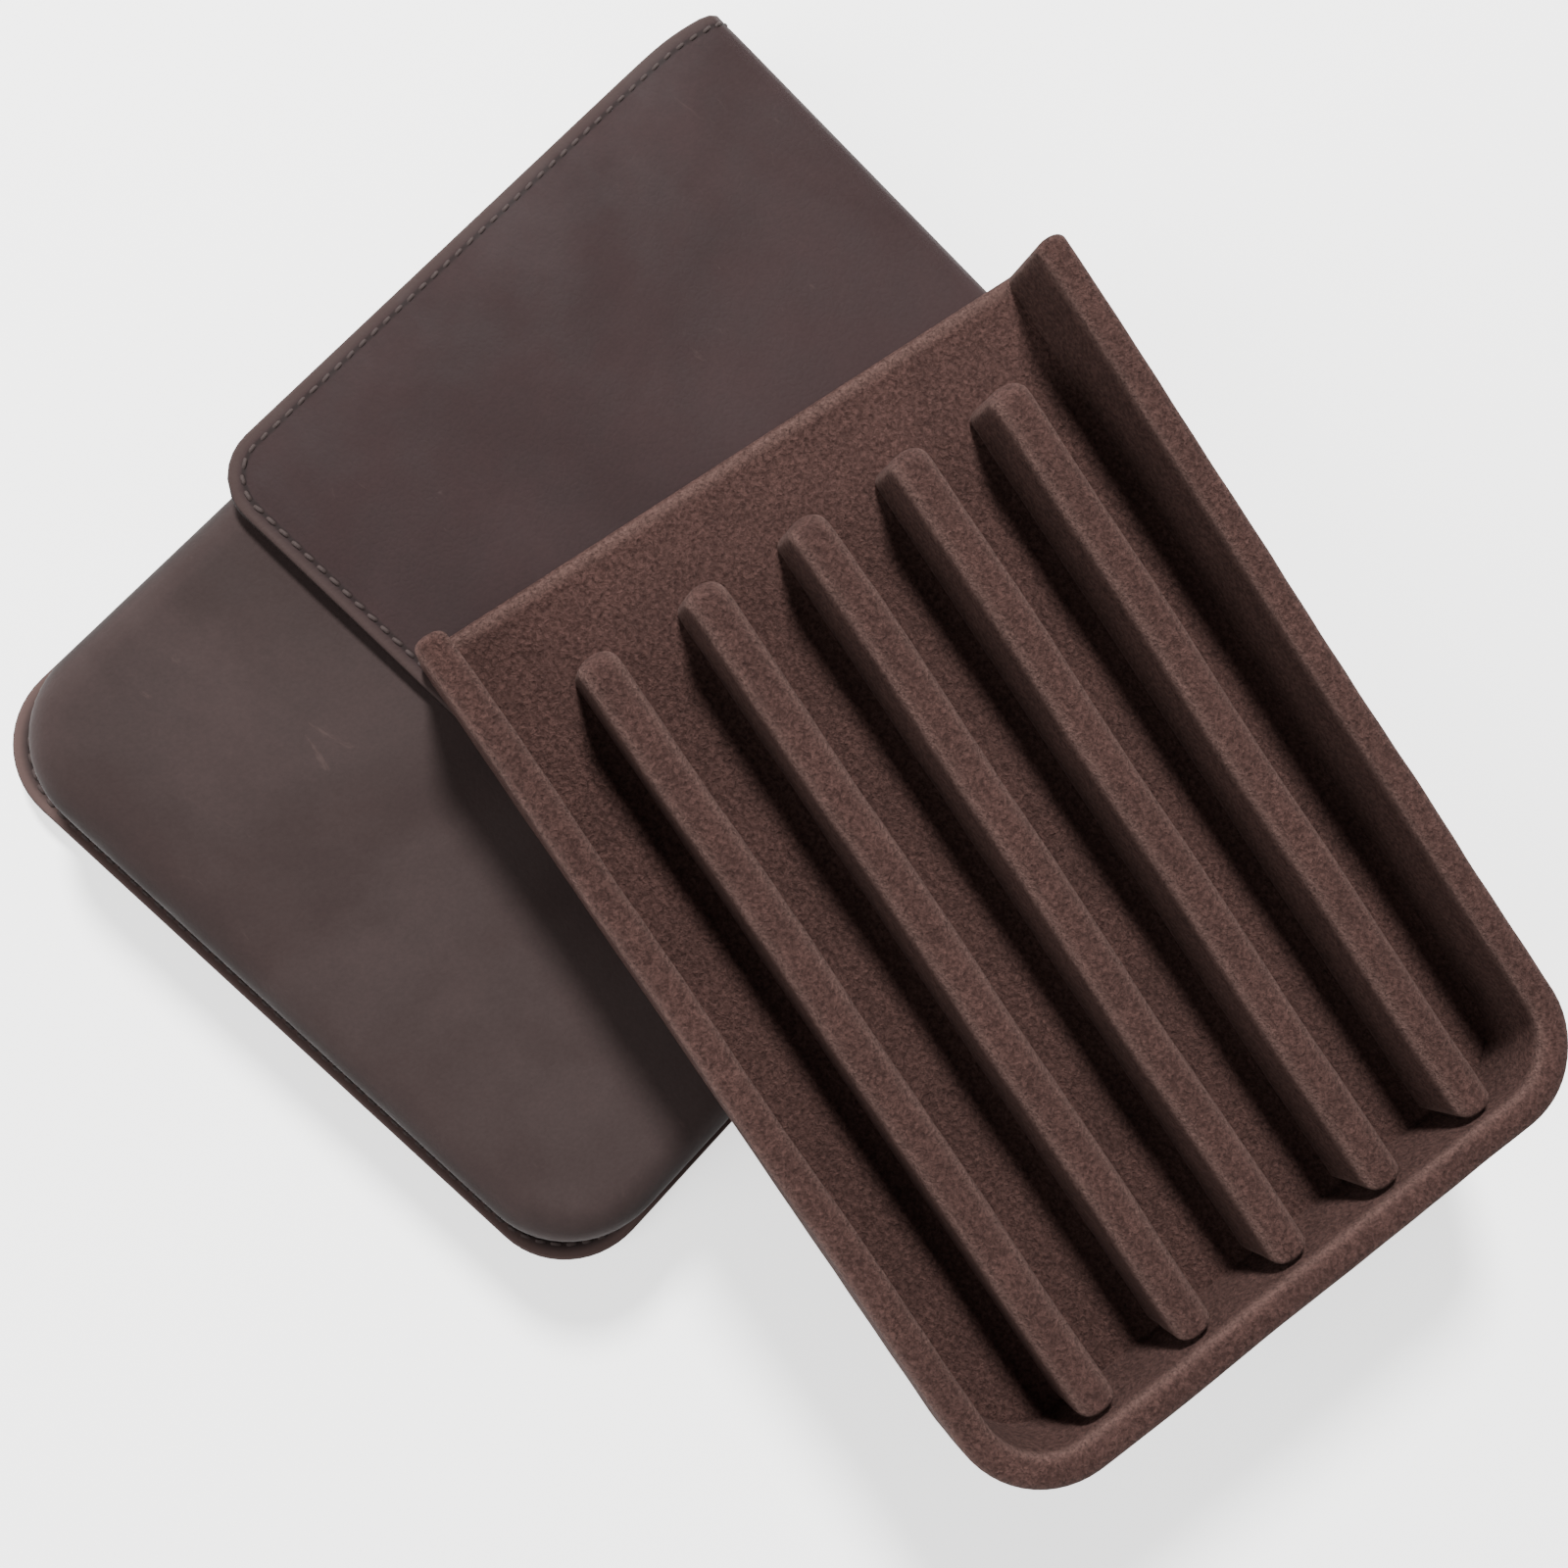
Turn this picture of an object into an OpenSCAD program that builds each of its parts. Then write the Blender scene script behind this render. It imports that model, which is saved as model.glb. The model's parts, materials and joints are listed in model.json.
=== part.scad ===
// Leather pen case: a moulded pouch with a fold-over flap, and a suede pen tray
// that slides out of it. The closed pouch lies flat, and the tray rests across its flap.
// +Z is up, +Y points to the mouth, and the origin is the centre of the flat base.

/* [Pouch] */
// Overall width of the pouch, over the stitched rim
pouch_w = 132; // [126:1:150]
// Overall length of the closed pouch, from the rounded end to the fold
pouch_l = 167; // [165:1:190]
// Clear height inside the pouch
inner_h = 20; // [19.5:0.5:28]
// Corner radius of the rim at the rounded end
rim_corner_r = 15; // [12:1:20]
// Width of the stitched rim beside the moulded front
rim_w = 3.2; // [3:0.2:4.4]
// Corner radius of the moulded front
dome_corner_r = 17.4; // [14:1:22]
// Radius of the moulded front's top edge
dome_edge_r = 6; // [5:0.5:7]

/* [Leather] */
// Thickness of the outer leather
leather_t = 1.6; // [1.2:0.1:1.8]
// Thickness of the suede lining
lining_t = 0.8; // [0.6:0.1:1]

/* [Flap] */
// Length of the flap over the front, from the fold to its free edge
flap_l = 112; // [80:1:125]
// Corner radius of the flap's free edge
flap_corner_r = 8; // [5:1:14]
// Gap between the closed flap and the front
flap_gap = 0.3; // [0.3:0.1:1]
// Running gap where two bodies meet at a crease
crease_gap = 0.3; // [0.2:0.1:0.5]

/* [Closure] */
// Radius of a hidden closing magnet
magnet_r = 5; // [3:0.5:6]
// Thickness of a hidden closing magnet
magnet_t = 0.8; // [0.5:0.1:0.8]
// Distance of each magnet from the centre line
magnet_x = 40; // [20:1:45]
// Distance of the magnets from the flap's free edge
magnet_in = 14; // [11:1:24]

/* [Stitching] */
// Distance from the edge to the line of thread on the flap
stitch_in = 2.4; // [2:0.1:3]
// Width of the thread line
thread_w = 0.8; // [0.6:0.1:1]
// Depth of the groove that the thread lies in
thread_sink = 0.4; // [0.2:0.1:0.6]
// Height of the thread above the leather
thread_rise = 0.1; // [0.1:0.05:0.2]

/* [Tray] */
// Width of the tray
tray_w = 118; // [112:1:119]
// Length of the tray
tray_l = 158; // [150:1:158]
// Height of the tray walls
tray_h = 19; // [16:0.5:19]
// Thickness of a tray wall, with its suede
wall_t = 5.4; // [4:0.2:6.4]
// Corner radius at the tray's rounded end
tray_corner_r = 16; // [14:1:20]
// Thickness of the suede over the boards
suede_t = 0.7; // [0.5:0.1:0.8]
// Thickness of the tray's base board
base_board_t = 1.6; // [1.2:0.1:2]

/* [Dividers] */
// Thickness of a divider, with its suede
divider_t = 6.8; // [4:0.2:8]
// How far the divider tops lie below the wall tops
divider_drop = 2; // [1:0.5:4]
// Distance from the open end to the dividers
divider_start = 15; // [8:1:25]
// Gap between the dividers and the rounded end wall
divider_end = 0.8; // [0.4:0.2:4]
// Radius of a divider's nose
nose_r = 8; // [4:0.5:9]

/* [Tray position] */
// Where the tray's centre lies beside the pouch's centre line
tray_x = 66; // [60:1:75]
// Where the tray's centre lies along the pouch
tray_y = 15; // [5:1:25]
// Turn of the tray from the pouch's long axis
tray_turn = 78; // [70:1:90]
// Gap under the tray
tray_gap = 0.6; // [0.3:0.1:1]

/* [Hidden] */
slot_count = 6;
divider_count = slot_count - 1;
// Clearance between the mouth and the spine's lining, less the crease gap
mouth_gap = 1.3;
// The thread stops this far short of a crease
thread_end = 2;

function numbered(name) = [for (i = [1 : divider_count]) str(name, "_", i)];

// Heights, from the table up
rim_z = leather_t + lining_t;
rim_top = rim_z + leather_t;
front_top = rim_z + inner_h + lining_t + leather_t;
flap_low = front_top + flap_gap;
flap_mid = flap_low + lining_t;
flap_top = flap_mid + leather_t;
tray_z = flap_top + tray_gap;

// The two creases run along X through the middle of the outer leather
crease_y = pouch_l / 2 - leather_t / 2;
low_crease_z = leather_t / 2;
high_crease_z = flap_mid + leather_t / 2;
panel_end = crease_y - leather_t / 2 - crease_gap;
lining_end = panel_end - lining_t;
mouth_y = lining_end - mouth_gap;
flap_front = pouch_l / 2 - flap_l;

// The moulded front
dome_x = pouch_w / 2 - rim_w;
corner_x = dome_x - dome_corner_r;
corner_y = -pouch_l / 2 + rim_w + dome_corner_r;
magnet_y = flap_front + magnet_in;
pocket_r = magnet_r + 0.2;
rim_stitch_in = rim_w / 2;
cut = 1;

// The tray, in its own frame: V is its length and points to the open end
tray_inner_w = tray_w - 2 * wall_t;
tray_inner_r = tray_corner_r - wall_t;
floor_z = suede_t + base_board_t + suede_t;
slot_w = (tray_inner_w - divider_count * divider_t) / slot_count;
slot_pitch = slot_w + divider_t;
divider_low = floor_z;
divider_top = tray_h - divider_drop;
divider_far = tray_l / 2 - divider_start;
divider_near = -tray_l / 2 + wall_t + divider_end;

leather_colour = [0.24, 0.18, 0.17];
suede_colour = [0.42, 0.30, 0.27];
thread_colour = [0.38, 0.31, 0.29];
board_colour = [0.55, 0.50, 0.44];
magnet_colour = [0.70, 0.70, 0.72];

// Outline W wide from Y = LOW to HIGH, with round corners of radius R at the low end
module round_end(w, low, high, r) {
    translate([-w / 2, low + r]) square([w, high - low - r]);
    translate([-w / 2 + r, low]) square([w - 2 * r, r + 0.01]);
    for (side = [-1, 1]) translate([side * (w / 2 - r), low + r]) circle(r = r, $fn = 64);
}

// The rim's outline, set in by INSET, up to Y = HIGH
module rim_outline(inset, high) {
    round_end(pouch_w - 2 * inset, -pouch_l / 2 + inset, high, rim_corner_r - inset);
}

// A thread line THREAD_W wide along a round-ended outline, set in by INSET
module thread_line(w, low, high, r, inset) {
    out = inset - thread_w / 2;
    in = inset + thread_w / 2;
    difference() {
        round_end(w - 2 * out, low + out, high, r - out);
        round_end(w - 2 * in, low + in, high + cut, r - in);
    }
}

module rim_thread_line() {
    thread_line(pouch_w, -pouch_l / 2, mouth_y - thread_end, rim_corner_r, rim_stitch_in);
}

module flap_thread_line() {
    thread_line(pouch_w, flap_front, panel_end - thread_end, flap_corner_r, stitch_in);
}

// A quarter-round top edge of radius E on a post of radius R, from LOW up to TOP
module round_post(r, low, top, e) {
    rotate_extrude($fn = 48) polygon(concat(
        [[0, low], [r, low]],
        [for (a = [0 : 15 : 90]) [r - e + e * cos(a), top - e + e * sin(a)]],
        [[0, top]]));
}

// The moulded front's outer form, shrunk by INSET, from Z = LOW and out to Y = FAR
module dome(inset, low, far) {
    top = front_top - inset;
    e = dome_edge_r - inset;
    hull() {
        for (side = [-1, 1]) {
            translate([side * corner_x, corner_y, 0])
                round_post(dome_corner_r - inset, low, top, e);
            translate([side * (dome_x - inset - e), far, top - e])
                rotate([90, 0, 0]) cylinder(r = e, h = 1, $fn = 48);
            translate([side * (dome_x - inset - 1) - 1, far - 1, low]) cube([2, 1, 1]);
        }
    }
}

// Places a magnet, or its pocket, on one side of the pouch
module at_magnet(side, z) {
    translate([side * magnet_x, magnet_y, z]) children();
}

module back_panel() {
    color(leather_colour)
        linear_extrude(leather_t) rim_outline(0, panel_end);
}

module back_lining() {
    color(suede_colour) translate([0, 0, leather_t])
        linear_extrude(lining_t) rim_outline(0, lining_end);
}

module front_panel() {
    color(leather_colour) difference() {
        union() {
            dome(0, rim_z, mouth_y);
            translate([0, 0, rim_z]) linear_extrude(leather_t) rim_outline(0, mouth_y);
        }
        dome(leather_t, rim_z - cut, mouth_y + cut);
        for (side = [-1, 1]) at_magnet(side, front_top - leather_t - cut)
            cylinder(r = pocket_r, h = magnet_t + cut, $fn = 48);
        translate([0, 0, rim_top - thread_sink]) linear_extrude(cut) rim_thread_line();
    }
}

module front_lining() {
    color(suede_colour) difference() {
        dome(leather_t, rim_z, mouth_y);
        dome(leather_t + lining_t, rim_z - cut, mouth_y + cut);
    }
}

module rim_stitching() {
    color(thread_colour) translate([0, 0, rim_top - thread_sink])
        linear_extrude(thread_sink + thread_rise) rim_thread_line();
}

module front_magnet(side) {
    color(magnet_colour) at_magnet(side, front_top - leather_t)
        cylinder(r = magnet_r, h = magnet_t, $fn = 48);
}

// The spine stands between the creases, with a round edge about each of them
module spine_panel() {
    height = high_crease_z - low_crease_z;
    color(leather_colour) {
        translate([-pouch_w / 2, crease_y - leather_t / 2, low_crease_z])
            cube([pouch_w, leather_t, height]);
        for (z = [low_crease_z, high_crease_z])
            translate([-pouch_w / 2, crease_y, z]) rotate([0, 90, 0])
                cylinder(r = leather_t / 2, h = pouch_w, $fn = 48);
    }
}

module spine_lining() {
    low = leather_t + crease_gap;
    high = flap_mid - crease_gap;
    color(suede_colour)
        translate([-pouch_w / 2, crease_y - leather_t / 2 - lining_t, low])
            cube([pouch_w, lining_t, high - low]);
}

module flap_panel() {
    color(leather_colour) difference() {
        translate([0, 0, flap_mid]) linear_extrude(leather_t)
            round_end(pouch_w, flap_front, panel_end, flap_corner_r);
        for (side = [-1, 1]) at_magnet(side, flap_mid - cut)
            cylinder(r = pocket_r, h = magnet_t + cut, $fn = 48);
        translate([0, 0, flap_top - thread_sink]) linear_extrude(cut) flap_thread_line();
    }
}

module flap_lining() {
    color(suede_colour) translate([0, 0, flap_low]) linear_extrude(lining_t)
        round_end(pouch_w, flap_front, lining_end, flap_corner_r);
}

module flap_stitching() {
    color(thread_colour) translate([0, 0, flap_top - thread_sink])
        linear_extrude(thread_sink + thread_rise) flap_thread_line();
}

module flap_magnet(side) {
    color(magnet_colour) at_magnet(side, flap_mid)
        cylinder(r = magnet_r, h = magnet_t, $fn = 48);
}

// Moves a shape from the tray's frame to where the tray lies
module place_tray() {
    translate([tray_x, tray_y, tray_z]) rotate([0, 0, tray_turn]) children();
}

// The tray's outline, set in by INSET all round
module tray_outline(inset) {
    r = tray_corner_r - inset;
    round_end(tray_w - 2 * inset, -tray_l / 2 + inset, tray_l / 2 - inset, r);
}

// The floor between the walls, which runs out to the open end
module tray_floor_outline() {
    round_end(tray_inner_w, -tray_l / 2 + wall_t, tray_l / 2, tray_inner_r);
}

// The wall's outline seen from above, thinned by INSET on every side
module wall_outline(inset) {
    inner = wall_t - inset;
    difference() {
        tray_outline(inset);
        round_end(tray_w - 2 * inner, -tray_l / 2 + inner, tray_l / 2 + cut, tray_corner_r - inner);
    }
}

module tray_under_cover() {
    color(suede_colour) place_tray() linear_extrude(suede_t) tray_outline(0);
}

module tray_base_board() {
    color(board_colour) place_tray() translate([0, 0, suede_t])
        linear_extrude(base_board_t) tray_floor_outline();
}

module tray_floor_lining() {
    color(suede_colour) place_tray() translate([0, 0, suede_t + base_board_t])
        linear_extrude(suede_t) tray_floor_outline();
}

module tray_wall_core() {
    color(board_colour) place_tray() translate([0, 0, suede_t])
        linear_extrude(tray_h - 2 * suede_t) wall_outline(suede_t);
}

module tray_wall_cover() {
    color(suede_colour) place_tray() difference() {
        translate([0, 0, suede_t]) linear_extrude(tray_h - suede_t) wall_outline(0);
        translate([0, 0, suede_t - cut])
            linear_extrude(tray_h - 2 * suede_t + cut) wall_outline(suede_t);
    }
}

// Divider number I, from 1, seen from the side and thinned by INSET
module divider_shape(i, inset, low) {
    u = -tray_inner_w / 2 + i * slot_pitch - divider_t / 2;
    near = divider_near + inset;
    far = divider_far - inset;
    top = divider_top - inset;
    r = nose_r - inset;
    thick = divider_t - 2 * inset;
    place_tray() translate([u - thick / 2, 0, 0])
        rotate([90, 0, 90]) linear_extrude(thick) {
            translate([near, low]) square([far - near - r, top - low]);
            translate([near, low]) square([far - near, top - r - low]);
            intersection() {
                translate([far - r, top - r]) circle(r = r, $fn = 64);
                translate([near, low]) square([far - near, top - low]);
            }
        }
}

module divider_core(i) {
    color(board_colour) divider_shape(i, suede_t, divider_low);
}

module divider_cover(i) {
    color(suede_colour) difference() {
        divider_shape(i, 0, divider_low);
        divider_shape(i, suede_t, divider_low - cut);
    }
}

back_panel();
back_lining();
front_panel();
front_lining();
rim_stitching();
front_magnet(-1);  // front_magnet_left
front_magnet(1);  // front_magnet_right
spine_panel();
spine_lining();
flap_panel();
flap_lining();
flap_stitching();
flap_magnet(-1);  // flap_magnet_left
flap_magnet(1);  // flap_magnet_right
tray_under_cover();
tray_base_board();
tray_floor_lining();
tray_wall_core();
tray_wall_cover();
for (i = [1 : divider_count]) {
    divider_core(i);
    divider_cover(i);
}
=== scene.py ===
import json
import math

import bmesh
import bpy
import numpy as np
from mathutils import Matrix, Vector


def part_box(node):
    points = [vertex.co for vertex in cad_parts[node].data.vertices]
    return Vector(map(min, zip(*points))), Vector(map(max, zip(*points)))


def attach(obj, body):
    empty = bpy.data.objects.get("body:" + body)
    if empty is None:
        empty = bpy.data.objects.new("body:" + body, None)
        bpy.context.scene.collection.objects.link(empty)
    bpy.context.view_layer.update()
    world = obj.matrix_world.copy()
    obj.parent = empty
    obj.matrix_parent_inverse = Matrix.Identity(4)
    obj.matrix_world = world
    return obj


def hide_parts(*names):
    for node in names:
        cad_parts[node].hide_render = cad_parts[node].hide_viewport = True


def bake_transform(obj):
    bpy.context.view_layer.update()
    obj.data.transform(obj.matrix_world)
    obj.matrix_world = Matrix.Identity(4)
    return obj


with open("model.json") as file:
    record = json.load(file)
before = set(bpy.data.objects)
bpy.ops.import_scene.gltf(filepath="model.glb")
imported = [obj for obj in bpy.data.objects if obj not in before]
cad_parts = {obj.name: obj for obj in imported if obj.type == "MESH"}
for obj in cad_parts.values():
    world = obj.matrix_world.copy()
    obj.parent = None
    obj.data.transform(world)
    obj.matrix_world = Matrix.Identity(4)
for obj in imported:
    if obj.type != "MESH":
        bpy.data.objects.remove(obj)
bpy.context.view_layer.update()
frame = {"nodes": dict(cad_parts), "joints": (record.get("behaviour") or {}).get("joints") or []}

# Shapes are worked out in millimetres and scaled to metres when a mesh is made.
MM = 0.001
JOINTS = {joint["name"]: joint for joint in frame["joints"]}


# ---------------------------------------------------------------- measures from the frame

def mm_box(node):
    """Lowest and highest corner of a CAD node, in millimetres."""
    low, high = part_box(node)
    return np.array(low) / MM, np.array(high) / MM


back_low, back_high = mm_box("back_panel")
front_low, front_high = mm_box("front_panel")
_, inner_high = mm_box("front_lining")
flap_low, _ = mm_box("flap_panel")
back_lining_low, back_lining_high = mm_box("back_lining")

HALF_W = back_high[0]
END_Y = back_low[1]
LEATHER = back_high[2] - back_low[2]
LINING = back_lining_high[2] - back_lining_low[2]
RIM_Z = front_low[2]
RIM_TOP = RIM_Z + LEATHER
MOUTH_Y = front_high[1]
RIM_W = HALF_W - inner_high[0] - LEATHER
FLAP_Y = flap_low[1]
CREASE_Y = JOINTS["spine_crease"]["pos_m"][1] / MM
LOW_CREASE_Z = JOINTS["spine_crease"]["pos_m"][2] / MM
HIGH_CREASE_Z = JOINTS["flap_crease"]["pos_m"][2] / MM

# Corner radii of the rim, of the moulded form and of the flap, and the radius of the leather's two bends
RIM_CORNER = 15.0
DOME_CORNER = 17.4
FLAP_CORNER = 9.4
BEND_R = 4.0

DIVIDERS = 5


def tray_turn():
    """The tray's turn about Z, read from the row of dividers."""
    first = sum(mm_box("divider_cover_1"))
    last = sum(mm_box(f"divider_cover_{DIVIDERS}"))
    return math.atan2(last[1] - first[1], last[0] - first[0])


TURN = tray_turn()
TRAY_U = np.array([math.cos(TURN), math.sin(TURN), 0.0])
TRAY_V = np.array([-math.sin(TURN), math.cos(TURN), 0.0])


def tray_span(node):
    """Lowest and highest U, V and Z of a CAD node along the tray's own axes, in millimetres."""
    points = np.array([v.co for v in frame["nodes"][node].data.vertices]) / MM
    local = np.stack([points @ TRAY_U, points @ TRAY_V, points[:, 2]], axis=1)
    return local.min(0), local.max(0)


def tray_point(u, v, z):
    """Frame position of tray coordinates, which are measured from the frame's origin."""
    return u[..., None] * TRAY_U + v[..., None] * TRAY_V + z[..., None] * np.array([0.0, 0.0, 1.0])


# ---------------------------------------------------------------- mesh helpers

def smoothstep(value, low, high):
    """0 below low, 1 above high and a smooth rise between them."""
    t = np.clip((value - low) / (high - low), 0, 1)
    return t * t * (3 - 2 * t)


def ripple(x, y, size, phase):
    """A smooth irregular surface from -1 to 1, with features about size across."""
    k = 2 * math.pi / size
    total = np.sin(k * (0.82 * x + 0.31 * y) + phase)
    total = total + np.sin(k * (-0.38 * x + 0.97 * y) + 2.1 * phase + 1.3)
    total = total + np.sin(k * (0.61 * x - 0.74 * y) * 1.4 + 0.7 * phase + 4.0)
    total = total + np.sin(k * (0.15 * x + 0.55 * y) * 2.3 + 3.3 * phase + 2.2)
    return total / 4


RIM_STEPS = 8


def crowded(length, step, rim):
    """Values from 0 to length, about step apart and crowded within rim of both ends."""
    near = rim * (1 - np.cos(np.linspace(0, math.pi / 2, RIM_STEPS)))
    count = max(2, round((length - 2 * rim) / step))
    middle = np.linspace(rim, length - rim, count + 1)[1:-1]
    return np.concatenate([near, middle, length - near[::-1]])


def corner_inset(rows, length, start_r, end_r):
    """How far a rounded outline's side draws in at each row."""
    inset = np.zeros_like(rows)
    for r, along in ((start_r, rows), (end_r, length - rows)):
        if r > 0:
            inset += r - np.sqrt(np.clip(r * r - np.clip(r - along, 0, r) ** 2, 0, None))
    return inset


def outline_distance(x, s, width, length, radii, closed):
    """Distance inside a rounded outline. A side that isn't closed is left out."""
    sides = [x, width - x]
    if closed[0]:
        sides.append(s)
    if closed[1]:
        sides.append(length - s)
    distance = np.minimum.reduce(sides)
    corners = ((0, 0, radii[0]), (0, 1, radii[1]), (1, 0, radii[2]), (1, 1, radii[3]))
    for high_x, high_s, r in corners:
        if r <= 0:
            continue
        dx = r - (width - x if high_x else x)
        ds = r - (length - s if high_s else s)
        inside = (dx > 0) & (ds > 0)
        distance = np.where(inside, np.minimum(distance, r - np.hypot(dx, ds)), distance)
    return np.clip(distance, 0, None)


def grid_faces(rows, columns, offset=0, flip=False):
    """The quads of a grid of points stored row by row."""
    i, j = np.meshgrid(np.arange(rows - 1), np.arange(columns - 1), indexing="ij")
    a = (offset + i * columns + j).ravel()
    quads = np.stack([a, a + 1, a + columns + 1, a + columns], axis=1)
    return quads[:, ::-1] if flip else quads


def strip_faces(one, other):
    """Quads between two lists of vertex numbers of the same length."""
    one = np.asarray(one)
    other = np.asarray(other)
    return np.stack([one[:-1], one[1:], other[1:], other[:-1]], axis=1)


WELD = 0.002
DEGENERATE = 0.001


def make_piece(name, points, faces, edge, sharp=70):
    """A smooth closed mesh from points in millimetres. Its edge attribute is the distance to its outline."""
    mesh = bpy.data.meshes.new(name)
    mesh.from_pydata((points * MM).tolist(), [], faces.tolist())
    attribute = mesh.attributes.new("edge", "FLOAT", "POINT")
    attribute.data.foreach_set("value", np.asarray(edge, np.float32))
    bm = bmesh.new()
    bm.from_mesh(mesh)
    bmesh.ops.remove_doubles(bm, verts=bm.verts, dist=WELD * MM)
    bmesh.ops.dissolve_degenerate(bm, edges=bm.edges, dist=DEGENERATE * MM)
    bmesh.ops.recalc_face_normals(bm, faces=bm.faces)
    bm.to_mesh(mesh)
    bm.free()
    mesh.polygons.foreach_set("use_smooth", [True] * len(mesh.polygons))
    mesh.set_sharp_from_angle(angle=math.radians(sharp))
    piece = bpy.data.objects.new(name, mesh)
    bpy.context.scene.collection.objects.link(piece)
    return piece


def sheet(name, width, length, thick, place, radii=(0, 0, 0, 0), closed=(True, True),
          rim=None, power=2.0, step=2.0, x_step=None, press=None):
    """A slab with rounded edges. place(x, s, h) gives the position of the point h above the middle."""
    rim = thick / 2 if rim is None else rim
    columns = crowded(width, x_step or step, rim)
    rows = crowded(length, step, rim)
    low = corner_inset(rows, length, radii[0], radii[1])
    high = width - corner_inset(rows, length, radii[2], radii[3])
    x = low[:, None] + (high - low)[:, None] * columns[None, :] / width
    s = np.repeat(rows[:, None], len(columns), axis=1)
    distance = outline_distance(x, s, width, length, radii, closed)
    full = (1 - (1 - np.clip(distance / rim, 0, 1)) ** power) ** (1 / power)
    half = full * thick / 2
    sunk = press(distance) if press else 0.0
    points = np.concatenate([place(x, s, half - sunk).reshape(-1, 3), place(x, s, -half).reshape(-1, 3)])
    count = x.size
    index = np.arange(count).reshape(x.shape)
    loop = np.concatenate([index[0, :], index[1:, -1], index[-1, -2::-1], index[-2::-1, 0]])
    faces = np.concatenate([
        grid_faces(*x.shape),
        grid_faces(*x.shape, offset=count, flip=True),
        strip_faces(loop, loop + count),
    ])
    return make_piece(name, points, faces, np.tile(distance.ravel(), 2))


# ---------------------------------------------------------------- node graphs

class Graph:
    """A material's node graph, built a node at a time."""

    def __init__(self, name):
        self.material = bpy.data.materials.new(name)
        self.material.use_nodes = True
        self.tree = self.material.node_tree
        self.shader = self.tree.nodes["Principled BSDF"]

    def node(self, kind, values=None, **settings):
        """A new node. values gives its inputs, each a number, a colour or another node's output."""
        made = self.tree.nodes.new(kind)
        for key, value in settings.items():
            setattr(made, key, value)
        for key, value in (values or {}).items():
            self.give(made.inputs[key], value)
        return made

    def give(self, socket, value):
        """Links the socket to a node's output, or sets it to a plain value."""
        if isinstance(value, bpy.types.NodeSocket):
            self.tree.links.new(value, socket)
        else:
            socket.default_value = value

    def set(self, **values):
        """Sets the shader's inputs. An underscore stands for a space."""
        for key, value in values.items():
            self.give(self.shader.inputs[key.replace("_", " ")], value)

    def place(self):
        """Position on the piece, in metres."""
        return self.node("ShaderNodeTexCoord").outputs["Object"]

    def stretched(self, scale):
        return self.node("ShaderNodeMapping", {"Vector": self.place(), "Scale": scale}).outputs["Vector"]

    def noise(self, scale, detail=3.0, rough=0.55, distortion=0.0, vector=None):
        values = {"Vector": vector or self.place(), "Scale": scale, "Detail": detail,
                  "Roughness": rough, "Distortion": distortion}
        return self.node("ShaderNodeTexNoise", values).outputs["Fac"]

    def cells(self, scale):
        """Distance to the nearest cell border of a cell pattern."""
        values = {"Vector": self.place(), "Scale": scale}
        return self.node("ShaderNodeTexVoronoi", values, feature="DISTANCE_TO_EDGE").outputs["Distance"]

    def remap(self, value, low, high, to_low=0.0, to_high=1.0):
        """A smooth step from to_low to to_high while value goes from low to high."""
        values = {"Value": value, "From Min": low, "From Max": high, "To Min": to_low, "To Max": to_high}
        return self.node("ShaderNodeMapRange", values, interpolation_type="SMOOTHSTEP").outputs["Result"]

    def mix(self, share, one, other):
        """A colour that goes from one to other as share goes from 0 to 1."""
        made = self.node("ShaderNodeMix", data_type="RGBA")
        self.give(made.inputs["Factor"], share)
        self.give(made.inputs[6], one)
        self.give(made.inputs[7], other)
        return made.outputs[2]

    def tint(self, colour, share, low, high):
        """colour times a grey from low to high, by share."""
        grey = self.remap(share, 0.3, 0.7, low, high)
        scaled = self.node("ShaderNodeVectorMath", operation="SCALE")
        self.give(scaled.inputs[0], colour)
        self.give(scaled.inputs["Scale"], grey)
        return scaled.outputs["Vector"]

    def product(self, one, other):
        return self.node("ShaderNodeMath", {0: one, 1: other}, operation="MULTIPLY").outputs[0]

    def edge(self):
        """Distance to the piece's outline, in millimetres."""
        return self.node("ShaderNodeAttribute", attribute_name="edge").outputs["Fac"]

    def bump(self, height, strength, distance, normal=None):
        values = {"Height": height, "Strength": strength, "Distance": distance}
        if normal is not None:
            values["Normal"] = normal
        return self.node("ShaderNodeBump", values).outputs["Normal"]


def colour(red, green, blue):
    """A linear colour from display values of 0 to 255."""
    def linear(value):
        share = value / 255
        return share / 12.92 if share <= 0.04045 else ((share + 0.055) / 1.055) ** 2.4
    return (linear(red), linear(green), linear(blue), 1.0)


RUBBED = colour(74, 60, 57)
# Painted shade for the foot of the moulded form's wall
PAINTED_FOOT_SHADE = colour(18, 12, 11)
# Darker tone along the stitch groove
SEAM_DARK = colour(20, 14, 13)
PAINTED_EDGE = colour(22, 15, 14)


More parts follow.
